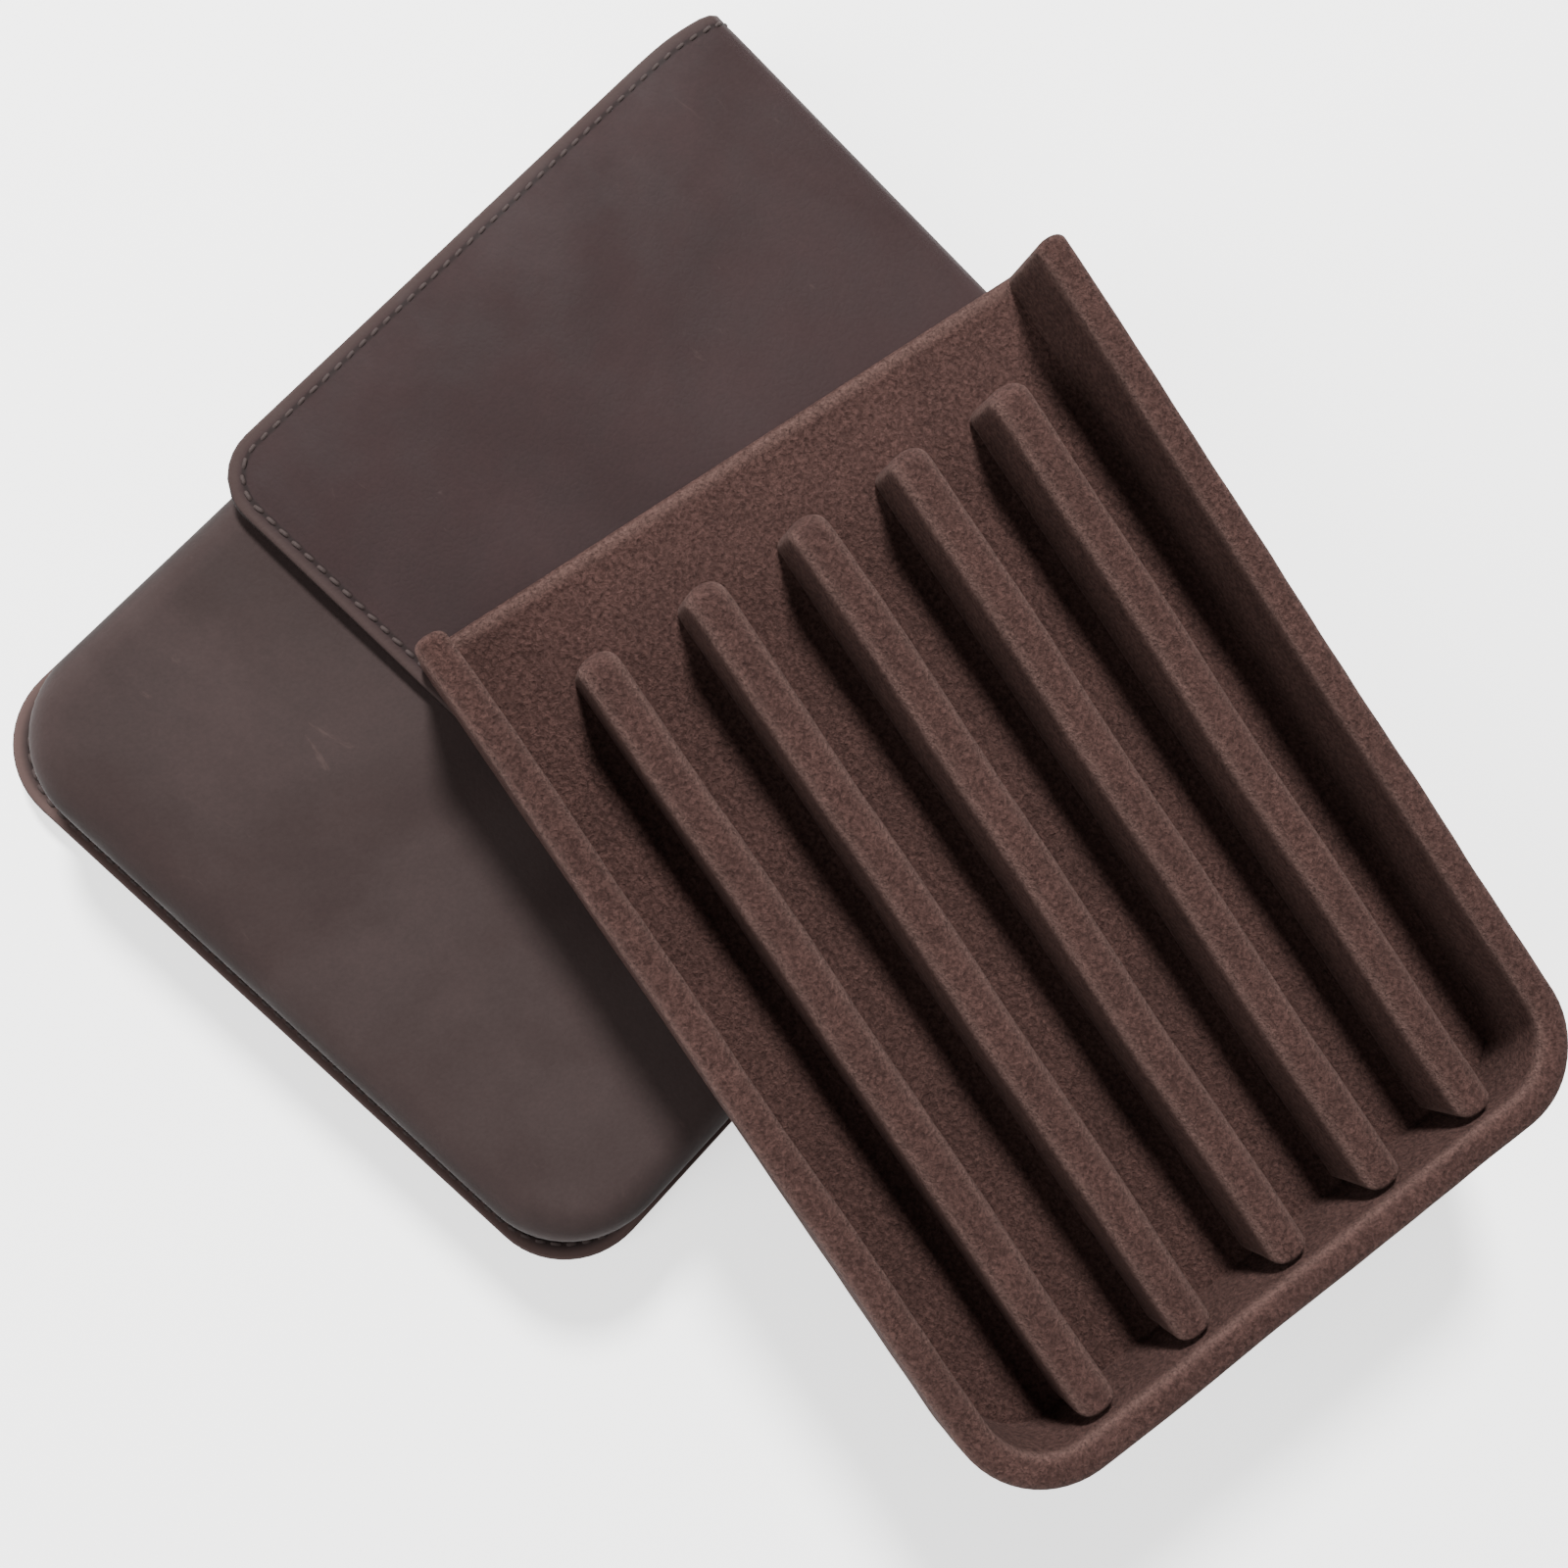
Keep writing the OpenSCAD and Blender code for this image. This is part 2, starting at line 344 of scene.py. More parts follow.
def leather_material(name, dark, light, lip, gloss=0.16, seam=None, foot_shade=0.0):
    """Smooth oiled cowhide: cloudy colour, fine pores, faint rub marks, a paler lip that is edge wear and
    painted light, and dark painted edges.

    seam is how far inside the edge a dark stitch line runs. The last argument is the strength of painted
    shade on the foot of the moulded form's wall, where the form rolls off towards the rim."""
    g = Graph(name)
    cloud = g.noise(22, 5, 0.6, 0.4)
    patch = g.noise(95, 4, 0.6)
    grain = g.noise(1500, 3, 0.6)
    base = g.mix(g.remap(cloud, 0.32, 0.70), dark, light)
    base = g.tint(base, patch, 0.94, 1.06)
    base = g.tint(base, grain, 0.95, 1.05)
    streak = g.noise(60, 6, 0.7, 1.5, g.stretched((1.0, 3.2, 1.0)))
    rubbed = g.remap(streak, 0.64, 0.76, 0.0, 0.3)
    base = g.mix(rubbed, base, RUBBED)
    roughness = g.remap(patch, 0.3, 0.7, 0.66, 0.76)
    # Painted shade: the foot of the moulded form's wall is darkened, as if in shade
    if foot_shade:
        foot = g.product(g.remap(g.edge(), 1.9, 2.7), g.remap(g.edge(), 3.4, 6.5, foot_shade, 0.0))
        base = g.mix(foot, base, PAINTED_FOOT_SHADE)
    # The paler lip is partly edge wear and partly painted light: a painted highlight on the rounded edge
    edge_wear_and_light = g.remap(g.edge(), 0.9, 2.3, 0.8, 0.0)
    base = g.mix(edge_wear_and_light, base, lip)
    # Darker along the stitch groove
    if seam:
        outer = g.remap(g.edge(), seam - 0.6, seam - 0.1)
        seam_dark = g.product(outer, g.remap(g.edge(), seam + 0.1, seam + 0.7, 0.7, 0.0))
        base = g.mix(seam_dark, base, SEAM_DARK)
    painted = g.remap(g.edge(), 0.10, 0.35, 0.85, 0.0)
    base = g.mix(painted, base, PAINTED_EDGE)
    pores = g.remap(g.cells(900), 0.0, 0.25)
    normal = g.bump(cloud, 0.08, 0.0012)
    normal = g.bump(pores, 0.10, 0.00010, normal)
    normal = g.bump(grain, 0.22, 0.00012, normal)
    g.set(Base_Color=base, Roughness=roughness, Normal=normal, Specular_IOR_Level=gloss)
    return g.material


def suede_material(name, dark, light, pale, nap=1.0):
    """Napped suede: mottled fibres, brushed patches, a soft sheen and a painted pale sheen along its edges.
    """
    g = Graph(name)
    fibre = g.noise(2300, 5, 0.7, 0.3)
    tuft = g.noise(1250, 4, 0.65, 0.4)
    brushed = g.noise(60, 5, 0.65, 0.8)
    base = g.mix(g.remap(tuft, 0.33, 0.67), dark, light)
    base = g.tint(base, fibre, 1 - 0.26 * nap, 1 + 0.26 * nap)
    base = g.tint(base, brushed, 0.90, 1.10)
    # Painted sheen: a paler band along the edges stands in for the nap catching the light
    ridge = g.product(g.remap(g.edge(), 0.0, 1.0), g.remap(g.edge(), 1.0, 3.2, 0.42, 0.0))
    painted_edge_sheen = g.product(ridge, g.remap(fibre, 0.3, 0.6, 0.2, 1.0))
    base = g.mix(painted_edge_sheen, base, pale)
    normal = g.bump(tuft, 1.0 * nap, 0.00085)
    normal = g.bump(fibre, 0.9 * nap, 0.00035, normal)
    g.set(Base_Color=base, Roughness=0.96, Normal=normal, Specular_IOR_Level=0.12)
    g.set(Sheen_Weight=0.12, Sheen_Roughness=0.45, Sheen_Tint=pale)
    return g.material


def thread_material():
    """Waxed thread with a fine twist."""
    g = Graph("waxed_thread")
    twist = g.noise(2600, 2, 0.5)
    base = g.mix(twist, colour(38, 30, 29), colour(56, 46, 44))
    g.set(Base_Color=base, Roughness=0.75, Normal=g.bump(twist, 0.5, 0.0001), Specular_IOR_Level=0.2)
    return g.material


def board_material():
    """Stiff greyboard, with flecks."""
    g = Graph("greyboard")
    fleck = g.noise(900, 5, 0.7)
    base = g.mix(fleck, colour(120, 106, 90), colour(165, 150, 130))
    g.set(Base_Color=base, Roughness=0.9, Normal=g.bump(fleck, 0.3, 0.0001))
    return g.material


def magnet_material():
    """Nickel plate with fine turning marks."""
    g = Graph("nickel_plate")
    marks = g.noise(1200, 3, 0.6, 0.0, g.stretched((1.0, 8.0, 1.0)))
    g.set(Base_Color=g.mix(marks, colour(176, 176, 180), colour(212, 212, 214)), Metallic=1.0)
    g.set(Roughness=g.remap(marks, 0.2, 0.8, 0.22, 0.42))
    return g.material


TABLE_GLOW = 1.3


def table_material():
    """Pale matt table top."""
    g = Graph("pale_table")
    tone = g.noise(9, 3, 0.5)
    g.set(Base_Color=g.mix(tone, colour(243, 242, 241), colour(250, 250, 249)), Roughness=0.7)
    g.set(Emission_Color=(1.0, 1.0, 1.0, 1.0), Emission_Strength=TABLE_GLOW)
    return g.material


def paint(piece, material):
    """Gives a piece its one material."""
    piece.data.materials.clear()
    piece.data.materials.append(material)
    return piece


# ---------------------------------------------------------------- the folded leather and its lining

STRAIGHT = CREASE_Y - BEND_R - END_Y
ARC = math.pi / 2 * BEND_R
RISE = HIGH_CREASE_Z - LOW_CREASE_Z - 2 * BEND_R
SEAM_S = STRAIGHT + ARC + RISE / 2
FLAP_START = STRAIGHT + ARC + RISE + ARC
TOTAL_S = FLAP_START + CREASE_Y - BEND_R - FLAP_Y
# Height of the lining's middle from the leather's middle
LINING_H = -(LEATHER + LINING) / 2

# The flap's sides droop, the fold is a little narrower than the rest, and the flap is slightly wavy.
FLAP_DROOP = 1.7
DROOP_POWER = 7
FOLD_WAIST = 2.6
FOLD_WAIST_SPREAD = 9.0
FLAP_SETTLES_IN = 14.0
FLAP_WAVE = 0.16
FLAP_WAVE_SIZE = 46.0
WAVE_POWER = 6


def fold_point(x, s, h):
    """Position at x across and s along the folded leather, h outside its middle."""
    low_turn = np.clip(s - STRAIGHT, 0, ARC) / BEND_R
    high_turn = np.clip(s - STRAIGHT - ARC - RISE, 0, ARC) / BEND_R
    turn = low_turn + high_turn
    y = END_Y + np.clip(s, 0, STRAIGHT) + BEND_R * np.sin(low_turn)
    y = y - BEND_R * (1 - np.cos(high_turn)) - np.clip(s - FLAP_START, 0, None)
    z = LOW_CREASE_Z + BEND_R * (1 - np.cos(low_turn))
    z = z + np.clip(s - STRAIGHT - ARC, 0, RISE) + BEND_R * np.sin(high_turn)
    on_flap = smoothstep(s, FLAP_START - ARC, FLAP_START + FLAP_SETTLES_IN)
    x = x * (1 - FOLD_WAIST / HALF_W * np.exp(-(((s - FLAP_START + ARC) / FOLD_WAIST_SPREAD) ** 2)))
    z = z - on_flap * FLAP_DROOP * np.abs(x / HALF_W) ** DROOP_POWER
    wave = FLAP_WAVE * ripple(x, s, FLAP_WAVE_SIZE, 0.6)
    h = h + on_flap * wave * (1 - np.abs(x / HALF_W) ** WAVE_POWER)
    return np.stack([x, y + h * np.sin(turn), z - h * np.cos(turn)], axis=-1)


GROOVE = 0.22
GROOVE_SPREAD = 0.55


def stitch_groove(inset):
    """How deep the thread pulls the leather in, at a distance from the outline."""
    return lambda distance: GROOVE * np.exp(-(((distance - inset) / GROOVE_SPREAD) ** 2))


def folded_sheet(name, low_s, high_s, thick, middle, inset, radii, closed, press=None):
    """Part of the fold from low_s to high_s, with its middle at that height outside the leather's middle."""
    width = 2 * (HALF_W - inset)

    def place(x, s, h):
        return fold_point(x - width / 2, s + low_s, h + middle)

    return sheet(name, width, high_s - low_s, thick, place, radii, closed, step=1.7, x_step=2.2, press=press)


# How far the stitches run inside the edge, and how far the linings stop short of it
FLAP_STITCH_IN = 2.4
RIM_STITCH_IN = 1.6
LAYER_STEP = 0.15


def fold_layers():
    """The leather and the lining, each in two pieces that meet half way up the spine."""
    return {
        "back_leather": folded_sheet(
            "back_leather", 0, SEAM_S, LEATHER, 0, 0,
            (RIM_CORNER, 0, RIM_CORNER, 0), (True, False), stitch_groove(RIM_STITCH_IN)),
        "flap_leather": folded_sheet(
            "flap_leather", SEAM_S, TOTAL_S, LEATHER, 0, 0,
            (0, FLAP_CORNER, 0, FLAP_CORNER), (False, True), stitch_groove(FLAP_STITCH_IN)),
        "back_suede_lining": folded_sheet(
            "back_suede_lining", LAYER_STEP, SEAM_S, LINING, LINING_H, LAYER_STEP,
            (RIM_CORNER, 0, RIM_CORNER, 0), (True, False)),
        "flap_suede_lining": folded_sheet(
            "flap_suede_lining", SEAM_S, TOTAL_S - LAYER_STEP, LINING, LINING_H, LAYER_STEP,
            (0, FLAP_CORNER, 0, FLAP_CORNER), (False, True)),
    }


# ---------------------------------------------------------------- the moulded front

# Radius of the form's shoulder, how far its wall leans in, and how far its top swells
DOME_R = 6.5
WALL_LEAN = 0.5
CROWN = 1.15
CROWN_POWER = 3
TOP_WAVE = 0.10
TOP_WAVE_SIZE = 58.0
TOP_CLEAR = 0.05
SHOULDER_Z = front_high[2] - CROWN - TOP_CLEAR
DOME_CENTRE_Z = SHOULDER_Z - DOME_R
CORNER_X = HALF_W - RIM_CORNER
CORNER_Y = END_Y + RIM_CORNER

# Where the form's wall starts: how far in from the rim, and how high on the leather's upper and lower side
DOME_FOOT = RIM_W + 0.15
UPPER_FOOT_Z = RIM_TOP + 0.3
LOWER_FOOT_Z = RIM_Z + 0.05

# How many points make up the form's wall, shoulder and top, the rim's edge, and the outline's parts
WALL_POINTS = 9
SHOULDER_POINTS = 13
TOP_POINTS = 6
EDGE_POINTS = 6
SIDE_POINTS = 60
CORNER_POINTS = 15
END_POINTS = 38


def dome_profile(inset):
    """Distance from the rim and height of the moulded form, shrunk by inset, from its foot inwards."""
    foot = DOME_FOOT + inset
    start = RIM_W + WALL_LEAN + inset
    foot_z = UPPER_FOOT_Z if inset < LEATHER else LOWER_FOOT_Z
    wall = [(foot + (start - foot) * t, foot_z + (DOME_CENTRE_Z - foot_z) * t)
            for t in np.linspace(0, 1, WALL_POINTS)]
    centre = RIM_W + WALL_LEAN + DOME_R
    r = DOME_R - inset
    arc = [(centre - r * math.cos(a), DOME_CENTRE_Z + r * math.sin(a))
           for a in np.linspace(0, math.pi / 2, SHOULDER_POINTS)[1:]]
    top = [(d, SHOULDER_Z - inset) for d in np.linspace(centre, DOME_FOOT + DOME_CORNER, TOP_POINTS)[1:]]
    return wall + arc + top


# The rim's edge is flatter than a half round. The upper side dips along the stitches and towards the form.
EDGE_DEPTH = 0.6
RIM_DIPS = ((1.1, 0.05), (RIM_STITCH_IN, 0.28), (2.1, 0.05), (2.6, 0.04), (RIM_W - 0.2, 0.55))


def rim_profile():
    """Upper and lower side of the stitched rim, from its outer edge in to the foot of the moulded form."""
    middle = (RIM_Z + RIM_TOP) / 2
    half = LEATHER / 2
    angles = np.linspace(0, math.pi / 2, EDGE_POINTS)
    edge = [(half * EDGE_DEPTH * (1 - math.cos(a)), half * math.sin(a)) for a in angles]
    upper = [(d, middle + h) for d, h in edge]
    lower = [(d, middle - h) for d, h in edge]
    upper += [(d, RIM_TOP - dip) for d, dip in RIM_DIPS]
    lower += [(d, RIM_Z) for d, _ in RIM_DIPS]
    return upper, lower


def corner_radius(inset):
    """Corner radius of the outline set in by inset: the rim's corner is tighter than the moulded form's."""
    share = min(inset / DOME_FOOT, 1)
    return max(RIM_CORNER + (DOME_CORNER - RIM_CORNER) * share - max(inset - DOME_FOOT, 0), 0)


def rim_path(inset):
    """Points of the rounded outline set in by inset, from the mouth round the end and back."""
    r = corner_radius(inset)
    corner_x = HALF_W - inset - r
    corner_y = END_Y + inset + r
    side = np.linspace(MOUTH_Y, corner_y, SIDE_POINTS)
    turn = np.linspace(0, math.pi / 2, CORNER_POINTS)[1:-1]
    end = np.linspace(-corner_x, corner_x, END_POINTS)
    left = [(-corner_x - r, y) for y in side]
    first = [(-corner_x - r * math.cos(a), corner_y - r * math.sin(a)) for a in turn]
    low = [(x, corner_y - r) for x in end]
    second = [(-x, y) for x, y in reversed(first)]
    right = [(corner_x + r, y) for y in side[::-1]]
    return np.array(left + first + low + second + right), side, end


def pillow(x, y):
    """How much the front's top swells, most at its middle."""
    across = 1 - np.abs(x / HALF_W) ** CROWN_POWER
    along = 1 - np.clip(-y / abs(END_Y), 0, 1) ** CROWN_POWER
    return (CROWN + TOP_WAVE * ripple(x, y, TOP_WAVE_SIZE, 2.0)) * across * along


def moulded_side(profile):
    """The points of one side of the moulded shell: its rings, and the flat field within them."""
    full_lift_z = SHOULDER_Z - LEATHER - LINING
    rings = []
    for d, z in profile:
        flat, side, end = rim_path(d)
        lift = smoothstep(np.array(z), RIM_TOP, full_lift_z) * pillow(flat[:, 0], flat[:, 1])
        rings.append(np.column_stack([flat, z + lift]))
    fx, fy = np.meshgrid(end, side, indexing="xy")
    fz = profile[-1][1] + pillow(fx, fy)
    field = np.stack([fx, fy, fz], axis=-1)
    return np.array(rings), field


def rim_distance(points):
    """Distance of each point inside the pouch's outline, as seen from above."""
    across = np.abs(points[:, 0])
    along = points[:, 1]
    distance = np.minimum(HALF_W - across, along - END_Y)
    past_x = np.clip(across - CORNER_X, 0, None)
    past_y = np.clip(CORNER_Y - along, 0, None)
    distance = np.minimum(distance, RIM_CORNER - np.hypot(past_x, past_y))
    return np.clip(np.minimum(distance, MOUTH_Y - along), 0, None)


def moulded_shell(name, upper, lower):
    """A closed shell between two profiles with the same number of points."""
    points = []
    faces = []
    blocks = []
    total = 0
    for profile, flip in ((upper, False), (lower, True)):
        rings, field = moulded_side(profile)
        for block in (rings, field):
            points.append(block.reshape(-1, 3))
            rows, columns = block.shape[:2]
            faces.append(grid_faces(rows, columns, total, flip))
            blocks.append(np.arange(rows * columns).reshape(rows, columns) + total)
            total += rows * columns
    upper_rings, upper_field, lower_rings, lower_field = blocks
    faces.append(strip_faces(upper_rings[0], lower_rings[0]))
    faces.append(strip_faces(upper_rings[:, 0], lower_rings[:, 0]))
    faces.append(strip_faces(upper_rings[:, -1], lower_rings[:, -1]))
    faces.append(strip_faces(upper_field[0], lower_field[0]))
    points = np.concatenate(points)
    return make_piece(name, points, np.concatenate(faces), rim_distance(points), sharp=60)


LINING_GAP = 0.03


def front_layers():
    """The moulded leather with its rim, and the lining inside it."""
    upper_rim, lower_rim = rim_profile()
    leather = moulded_shell("front_leather", upper_rim + dome_profile(0), lower_rim + dome_profile(LEATHER))
    outside = dome_profile(LEATHER + LINING_GAP)
    inside = dome_profile(LEATHER + LINING_GAP + LINING)
    lining = moulded_shell("front_suede_lining", outside, inside)
    return leather, lining


# ---------------------------------------------------------------- stitches

STITCH_PITCH = 2.6
STITCH_LENGTH = 2.15
STITCH_R = 0.32
STITCH_SLANT = 6.0
STITCH_LIFT = 0.16
STITCH_DIVE = 0.42
STITCH_SIDES = 8
STITCH_RINGS = 8
# How much a stitch's slant and length vary, how much its ends taper, and how oval it is
SLANT_VARIES = 2.5
LENGTH_VARIES = 0.03
STITCH_TAPER = 0.55
STITCH_WIDE = 1.1
STITCH_FLAT = 0.75
# The direction of a stitch is read this far before and after its centre.
STITCH_LOOK = 0.4
FAR_FROM_EDGE = 5.0
draw = np.random.default_rng(11)


def resampled(points, pitch):
    """Centre and direction of each stitch along a line of points."""
    gaps = np.linalg.norm(np.diff(points, axis=0), axis=1)
    reach = np.concatenate([[0], np.cumsum(gaps)])
    count = int(reach[-1] // pitch)
    at = (np.arange(count) + 0.5) * reach[-1] / count

    def along(where):
        return np.column_stack([np.interp(where, reach, points[:, k]) for k in range(3)])

    ahead = along(at + STITCH_LOOK) - along(at - STITCH_LOOK)
    return along(at), ahead / np.linalg.norm(ahead, axis=1)[:, None], at / reach[-1]


def stitch_line(name, points, normals):
    """Separate stitches along a line on a surface, each with both ends drawn into the leather."""
    centres, ahead, share = resampled(points, STITCH_PITCH)
    where = np.linspace(0, 1, len(points))
    up = np.column_stack([np.interp(share, where, normals[:, k]) for k in range(3)])
    along = np.linspace(-1, 1, STITCH_RINGS)
    around = np.linspace(0, 2 * math.pi, STITCH_SIDES, endpoint=False)
    all_points = []
    all_faces = []
    for i, (centre, forward, normal) in enumerate(zip(centres, ahead, up)):
        normal = normal / np.linalg.norm(normal)
        slant = math.radians(STITCH_SLANT + draw.normal(0, SLANT_VARIES))
        sideways = np.cross(normal, forward)
        forward = forward * math.cos(slant) + sideways * math.sin(slant)
        sideways = np.cross(normal, forward)
        reach = STITCH_LENGTH / 2 * (1 + draw.normal(0, LENGTH_VARIES))
        for t in along:
            r = STITCH_R * (1 - STITCH_TAPER * abs(t) ** 4)
            lift = STITCH_LIFT - STITCH_DIVE * abs(t) ** 3
            for a in around:
                offset = forward * t * reach + sideways * r * STITCH_WIDE * math.cos(a)
                all_points.append(centre + offset + normal * (lift + r * STITCH_FLAT * math.sin(a)))
        start = i * len(along) * len(around)
        index = start + np.arange(len(along) * len(around)).reshape(len(along), len(around))
        index = np.concatenate([index, index[:, :1]], axis=1)
        for row in range(len(along) - 1):
            all_faces += strip_faces(index[row], index[row + 1]).tolist()
    no_edge = np.full(len(all_points), FAR_FROM_EDGE)
    return make_piece(name, np.array(all_points), np.array(all_faces), no_edge, sharp=180)


LINE_TURN_POINTS = 12
LINE_SIDE_POINTS = 90
LINE_END_POINTS = 60


def u_line(half, start, end, r, at_high_end):
    """X and S of a round-cornered U: down one side, round the end and back up the other."""
    turn = np.linspace(0, math.pi / 2, LINE_TURN_POINTS)
    sign = 1 if at_high_end else -1
    side = np.linspace(start, end - sign * r, LINE_SIDE_POINTS)
    corner = end - sign * r
    one = [(-half, s) for s in side]
    one += [(-half + r - r * math.cos(a), corner + sign * r * math.sin(a)) for a in turn]
    middle = [(x, end) for x in np.linspace(-half + r, half - r, LINE_END_POINTS)]
    return np.array(one + middle + [(-x, s) for x, s in reversed(one)])


def fold_line(line, h, side):
    """Points and outward normals of a line drawn on the folded leather, at height h from its middle."""
    x, s = line[:, 0], line[:, 1]
    points = fold_point(x, s, h + np.zeros(len(x)))
    beyond = fold_point(x, s, h + side + np.zeros(len(x)))
    return points, beyond - points


# How far the rows stop short of the seam, how far the rim's row lies below its top, and how far the rows
# on the underside and on the lining are sunk
SEAM_CLEAR = 1.5
RIM_GROOVE = 0.26
UNDER_STITCH_SUNK = 0.2
LINING_STITCH_SUNK = 0.1


def all_stitches():
    """The stitches of the flap, of its inside, of the back and of the rim."""
    outside = LEATHER / 2 - GROOVE
    flap = u_line(HALF_W - FLAP_STITCH_IN, SEAM_S + SEAM_CLEAR, TOTAL_S - FLAP_STITCH_IN,
                  FLAP_CORNER - FLAP_STITCH_IN, True)
    back = u_line(HALF_W - RIM_STITCH_IN, SEAM_S - SEAM_CLEAR, RIM_STITCH_IN,
                  RIM_CORNER - RIM_STITCH_IN, False)
    on_spine = smoothstep(back[:, 1], STRAIGHT, STRAIGHT + ARC)
    back_height = outside - UNDER_STITCH_SUNK * (1 - on_spine)
    flat, _, _ = rim_path(RIM_STITCH_IN)
    rim = np.column_stack([flat, np.full(len(flat), RIM_TOP - RIM_GROOVE)])
    lining_side = LINING_H - LINING / 2 + LINING_STITCH_SUNK
    return {
        "flap_stitches": stitch_line("flap_stitches", *fold_line(flap, outside, 1)),
        "flap_lining_stitches": stitch_line("flap_lining_stitches", *fold_line(flap, lining_side, -1)),
        "back_stitches": stitch_line("back_stitches", *fold_line(back, back_height, 1)),
        "rim_stitches": stitch_line("rim_stitches", rim, np.tile([0.0, 0.0, 1.0], (len(rim), 1))),
    }


# ---------------------------------------------------------------- the tray

wall_low, wall_high = tray_span("tray_wall_cover")
under_low, under_high = tray_span("tray_under_cover")
floor_low, floor_high = tray_span("tray_floor_lining")
WALL_T = floor_low[0] - wall_low[0]
TRAY_Z = under_low[2]
FLOOR_Z = floor_high[2]
BASE_MIDDLE = (TRAY_Z + FLOOR_Z) / 2
WALL_TOP = wall_high[2]
WALL_CORNER = 16.0
WALL_R = WALL_CORNER - WALL_T / 2
WALL_ARC = math.pi / 2 * WALL_R
WALL_SIDE = wall_high[1] - wall_low[1] - WALL_T / 2 - WALL_R
WALL_ACROSS = wall_high[0] - wall_low[0] - WALL_T - 2 * WALL_R

# How far the suede rounds the edges of a wall, a divider and the base, and how full the rounding is
WALL_ROUND = 1.8
DIVIDER_ROUND = 2.5
BASE_ROUND = 1.2
WALL_POWER = 2.4
SUEDE_POWER = 2.2

# Corner radii of their outlines
WALL_FOOT = 0.6
WALL_TIP = 1.6
DIVIDER_FOOT = 0.5
DIVIDER_BACK = 1.2
DIVIDER_NOSE = 3.6
BASE_LIP = 0.8

# How far they stay inside the CAD solids, and how far a divider reaches into the floor
SUEDE_CLEAR = 0.1
WALL_LOWER = 0.15
BASE_INSET = 0.35
DIVIDER_SUNK = 0.4

# How far the walls and dividers bend, bump and rise, and how uneven the floor is, with the size of each wave
WALL_BEND = 0.22
WALL_BEND_SIZE = 37
WALL_RISE = 0.14
WALL_RISE_SIZE = 52
DIVIDER_BEND = 0.28
DIVIDER_BEND_SIZE = 41
DIVIDER_RISE = 0.16
DIVIDER_RISE_SIZE = 47
SUEDE_BUMP = 0.07
WALL_BUMP_SIZE = 9
DIVIDER_BUMP_SIZE = 8
FLOOR_WAVE = 0.08
FLOOR_WAVE_SIZE = 33


def wall_point(height, s, n):
    """Position on the tray's U-shaped wall: s along its middle line, n outside it."""
    first_end = WALL_SIDE + WALL_ARC
    second_start = first_end + WALL_ACROSS
    first = np.clip(s - WALL_SIDE, 0, WALL_ARC) / WALL_R
    second = np.clip(s - second_start, 0, WALL_ARC) / WALL_R
    turn = first + second
    v = wall_high[1] - np.clip(s, 0, WALL_SIDE) - WALL_R * np.sin(first)
    v = v + WALL_R * (1 - np.cos(second)) + np.clip(s - second_start - WALL_ARC, 0, None)
    u = wall_low[0] + WALL_T / 2 + WALL_R * (1 - np.cos(first))
    u = u + np.clip(s - first_end, 0, WALL_ACROSS) + WALL_R * np.sin(second)
    share = height / (WALL_TOP - TRAY_Z)
    n = n + WALL_BEND * share * ripple(s, height, WALL_BEND_SIZE, 1.0)
    n = n + SUEDE_BUMP * ripple(s, height, WALL_BUMP_SIZE, 3.0)
    lift = WALL_RISE * share * ripple(s, 0 * height, WALL_RISE_SIZE, 2.4)
    return tray_point(u - n * np.cos(turn), v - n * np.sin(turn), TRAY_Z + height + lift)


def tray_wall():
    """The suede-covered wall round three sides of the tray."""
    height = WALL_TOP - TRAY_Z - WALL_LOWER
    length = 2 * WALL_SIDE + 2 * WALL_ARC + WALL_ACROSS
    return sheet("tray_wall", height, length, WALL_T - SUEDE_CLEAR, wall_point,
                 radii=(WALL_FOOT, WALL_FOOT, WALL_TIP, WALL_TIP),
                 rim=WALL_ROUND, power=WALL_POWER, step=1.5, x_step=1.4)


def tray_divider(number):
    """One suede-covered divider with a rounded nose at the open end."""
    low, high = tray_span(f"divider_cover_{number}")
    middle = (low[0] + high[0]) / 2
    height = high[2] - low[2] + DIVIDER_SUNK

    def place(up, s, n):
        share = up / (high[2] - low[2])
        bend = DIVIDER_BEND * share * ripple(s, up, DIVIDER_BEND_SIZE, 1.7 * number)
        bend = bend + SUEDE_BUMP * ripple(s, up, DIVIDER_BUMP_SIZE, number)
        lift = DIVIDER_RISE * share * ripple(s, 0 * up, DIVIDER_RISE_SIZE, 0.9 * number)
        return tray_point(middle + n + bend, low[1] + s, low[2] - DIVIDER_SUNK + up + lift)

    return sheet(f"divider_{number}", height, high[1] - low[1], high[0] - low[0] - SUEDE_CLEAR, place,
                 radii=(DIVIDER_FOOT, DIVIDER_FOOT, DIVIDER_BACK, DIVIDER_NOSE),
                 rim=DIVIDER_ROUND, power=SUEDE_POWER, step=1.5, x_step=1.3)


def tray_base():
    """The suede-covered base board, rounded over at the open end."""
    width = under_high[0] - under_low[0] - 2 * BASE_INSET
    length = under_high[1] - under_low[1] - BASE_INSET - SUEDE_CLEAR
    corner = WALL_CORNER - BASE_INSET
    start_u = under_low[0] + BASE_INSET
    start_v = under_low[1] + BASE_INSET

    def place(x, s, h):
        uneven = FLOOR_WAVE * ripple(x, s, FLOOR_WAVE_SIZE, 1.1) * (h > 0)
        return tray_point(start_u + x, start_v + s, BASE_MIDDLE + h + uneven)

    return sheet("tray_base", width, length, FLOOR_Z - TRAY_Z, place,
                 radii=(corner, BASE_LIP, corner, BASE_LIP), rim=BASE_ROUND, power=SUEDE_POWER, step=2.0)


# ---------------------------------------------------------------- assembly

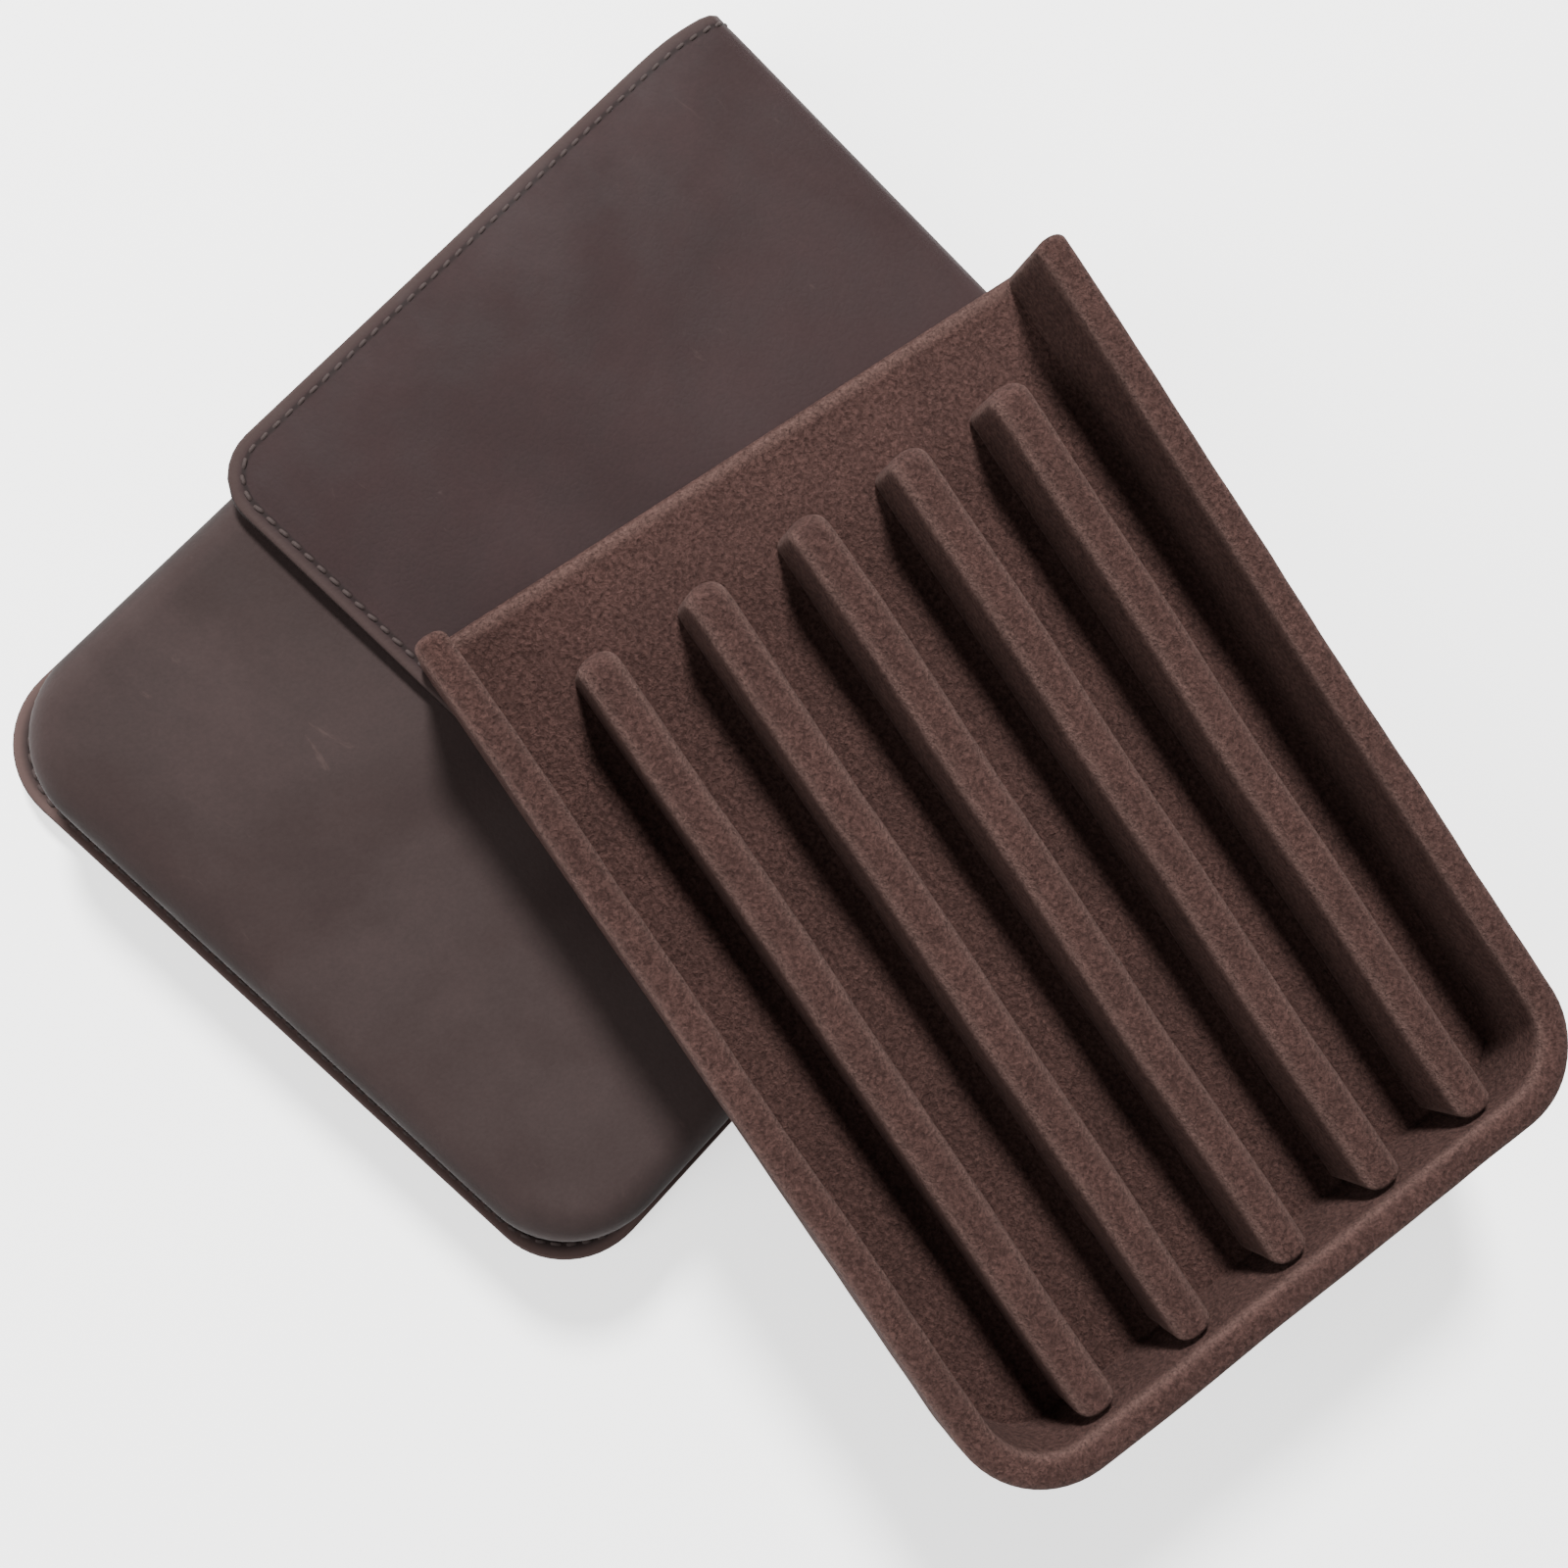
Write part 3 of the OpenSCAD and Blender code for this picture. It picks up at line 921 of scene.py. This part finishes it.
def make_materials():
    """The materials, by the part that each covers."""
    return {
        "back": leather_material(
            "pouch_leather", colour(40, 30, 29), colour(47, 37, 36), colour(60, 48, 46)),
        "front": leather_material(
            # the paler lip colour is painted light on the rim, which lies in the moulded form's shade
            "front_leather", colour(42, 33, 32), colour(49, 40, 39), colour(76, 61, 58),
            # painted shade on the foot of the moulded form
            gloss=0.07, foot_shade=0.75),
        # The flap is the same hide as the back; its darker colours are painted shade.
        "flap": leather_material(
            "flap_leather", colour(35, 24, 24), colour(42, 30, 30), colour(50, 39, 37),
            gloss=0.11, seam=FLAP_STITCH_IN),
        "lining": suede_material(
            "lining_suede", colour(34, 22, 20), colour(50, 35, 32), colour(66, 49, 44), nap=0.7),
        "tray": suede_material(
            "tray_suede", colour(48, 32, 29), colour(70, 50, 46), colour(108, 86, 80)),
        "stitches": thread_material(),
        "boards": board_material(),
        "magnets": magnet_material(),
    }


def add_fold(materials):
    """The folded leather and its lining, shaped with a bend at each of the two creases."""
    layers = fold_layers()
    paint(layers["back_leather"], materials["back"])
    paint(layers["flap_leather"], materials["flap"])
    paint(layers["back_suede_lining"], materials["lining"])
    paint(layers["flap_suede_lining"], materials["lining"])
    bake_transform(layers["back_leather"])
    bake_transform(layers["back_suede_lining"])
    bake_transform(layers["flap_leather"])
    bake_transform(layers["flap_suede_lining"])
    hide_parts("back_panel")
    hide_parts("flap_panel", "spine_panel")
    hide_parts("back_lining")
    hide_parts("flap_lining", "spine_lining")
    return layers


def add_front(materials):
    """The moulded front and its lining, which ride on the pouch."""
    front_leather, front_lining = front_layers()
    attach(paint(front_leather, materials["front"]), "pouch")
    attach(paint(front_lining, materials["lining"]), "pouch")
    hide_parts("front_panel")
    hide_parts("front_lining")
    return front_leather, front_lining


def add_stitches(material):
    """The rows of stitches, each drawn along its leather."""
    stitches = all_stitches()
    for piece in stitches.values():
        paint(piece, material)
    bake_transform(stitches["flap_stitches"])
    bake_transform(stitches["flap_lining_stitches"])
    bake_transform(stitches["back_stitches"])
    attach(stitches["rim_stitches"], "pouch")
    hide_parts("flap_stitching")
    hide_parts("rim_stitching")
    return stitches


def add_tray(material):
    """The tray's wall, base and dividers, each with the boards inside it."""
    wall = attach(paint(tray_wall(), material), "tray")
    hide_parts("tray_wall_cover", "tray_wall_core")
    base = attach(paint(tray_base(), material), "tray")
    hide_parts("tray_under_cover", "tray_base_board", "tray_floor_lining")
    for number in range(1, DIVIDERS + 1):
        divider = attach(paint(tray_divider(number), material), "tray")
        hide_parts(f"divider_cover_{number}", f"divider_core_{number}")


def paint_cad_nodes(magnet, board):
    """Gives the CAD's magnets and boards their materials."""
    for name, node in frame["nodes"].items():
        if "magnet" in name:
            paint(node, magnet)
        elif "core" in name or "board" in name:
            paint(node, board)


# ---------------------------------------------------------------- stage, light and camera

# Half the table's width, and how far it lies below the pouch, in metres
FLOOR_REACH = 8.0
FLOOR_DROP = 0.0004


def add_floor():
    """The pale table top."""
    reach = FLOOR_REACH
    corners = [(-reach, -reach, 0), (reach, -reach, 0), (reach, reach, 0), (-reach, reach, 0)]
    mesh = bpy.data.meshes.new("floor")
    mesh.from_pydata(corners, [], [(0, 1, 2, 3)])
    floor = bpy.data.objects.new("floor", mesh)
    bpy.context.scene.collection.objects.link(floor)
    floor.location.z = -FLOOR_DROP
    paint(floor, table_material())


def add_light(name, place, target, size, power):
    """A white round lamp that shines at target."""
    light = bpy.data.lights.new(name, "AREA")
    light.shape = "DISK"
    light.size = size
    light.energy = power
    lamp = bpy.data.objects.new(name, light)
    lamp.location = place
    lamp.rotation_euler = (Vector(target) - Vector(place)).to_track_quat("-Z", "Y").to_euler()
    bpy.context.scene.collection.objects.link(lamp)


def add_world(strength):
    """An even, slightly warm light from all round."""
    world = bpy.data.worlds.new("studio")
    world.use_nodes = True
    background = world.node_tree.nodes["Background"]
    background.inputs["Color"].default_value = (1.0, 0.99, 0.98, 1.0)
    background.inputs["Strength"].default_value = strength
    bpy.context.scene.world = world


def add_camera(place, heading, dip, roll, lens):
    """A camera at place that looks to heading, clockwise from +Y, and dip degrees down."""
    heading, dip, roll = (math.radians(a) for a in (heading, dip, roll))
    forward = Vector((math.sin(heading) * math.cos(dip), math.cos(heading) * math.cos(dip), -math.sin(dip)))
    level = Vector((math.cos(heading), -math.sin(heading), 0))
    upright = level.cross(forward)
    right = level * math.cos(roll) + upright * math.sin(roll)
    up = upright * math.cos(roll) - level * math.sin(roll)
    data = bpy.data.cameras.new("camera")
    data.lens = lens
    data.sensor_width = 36.0
    data.clip_start = 0.01
    camera = bpy.data.objects.new("camera", data)
    camera.matrix_world = Matrix.Translation(place) @ Matrix((right, up, -forward)).transposed().to_4x4()
    bpy.context.scene.collection.objects.link(camera)
    bpy.context.scene.camera = camera


materials = make_materials()
fold = add_fold(materials)
front = add_front(materials)
stitches = add_stitches(materials["stitches"])
add_tray(materials["tray"])
paint_cad_nodes(materials["magnets"], materials["boards"])

LIT_SPOT = (0.03, 0.0, 0.0)
add_floor()
add_world(0.36)
add_light("key", place=(-1.00, 0.72, 1.30), target=LIT_SPOT, size=0.34, power=99)
add_light("fill", place=(-0.50, -1.20, 1.10), target=LIT_SPOT, size=1.2, power=30)
add_camera(place=(0.00638, -0.04154, 0.29364), heading=30.41, dip=79.79, roll=74.23, lens=39.25)
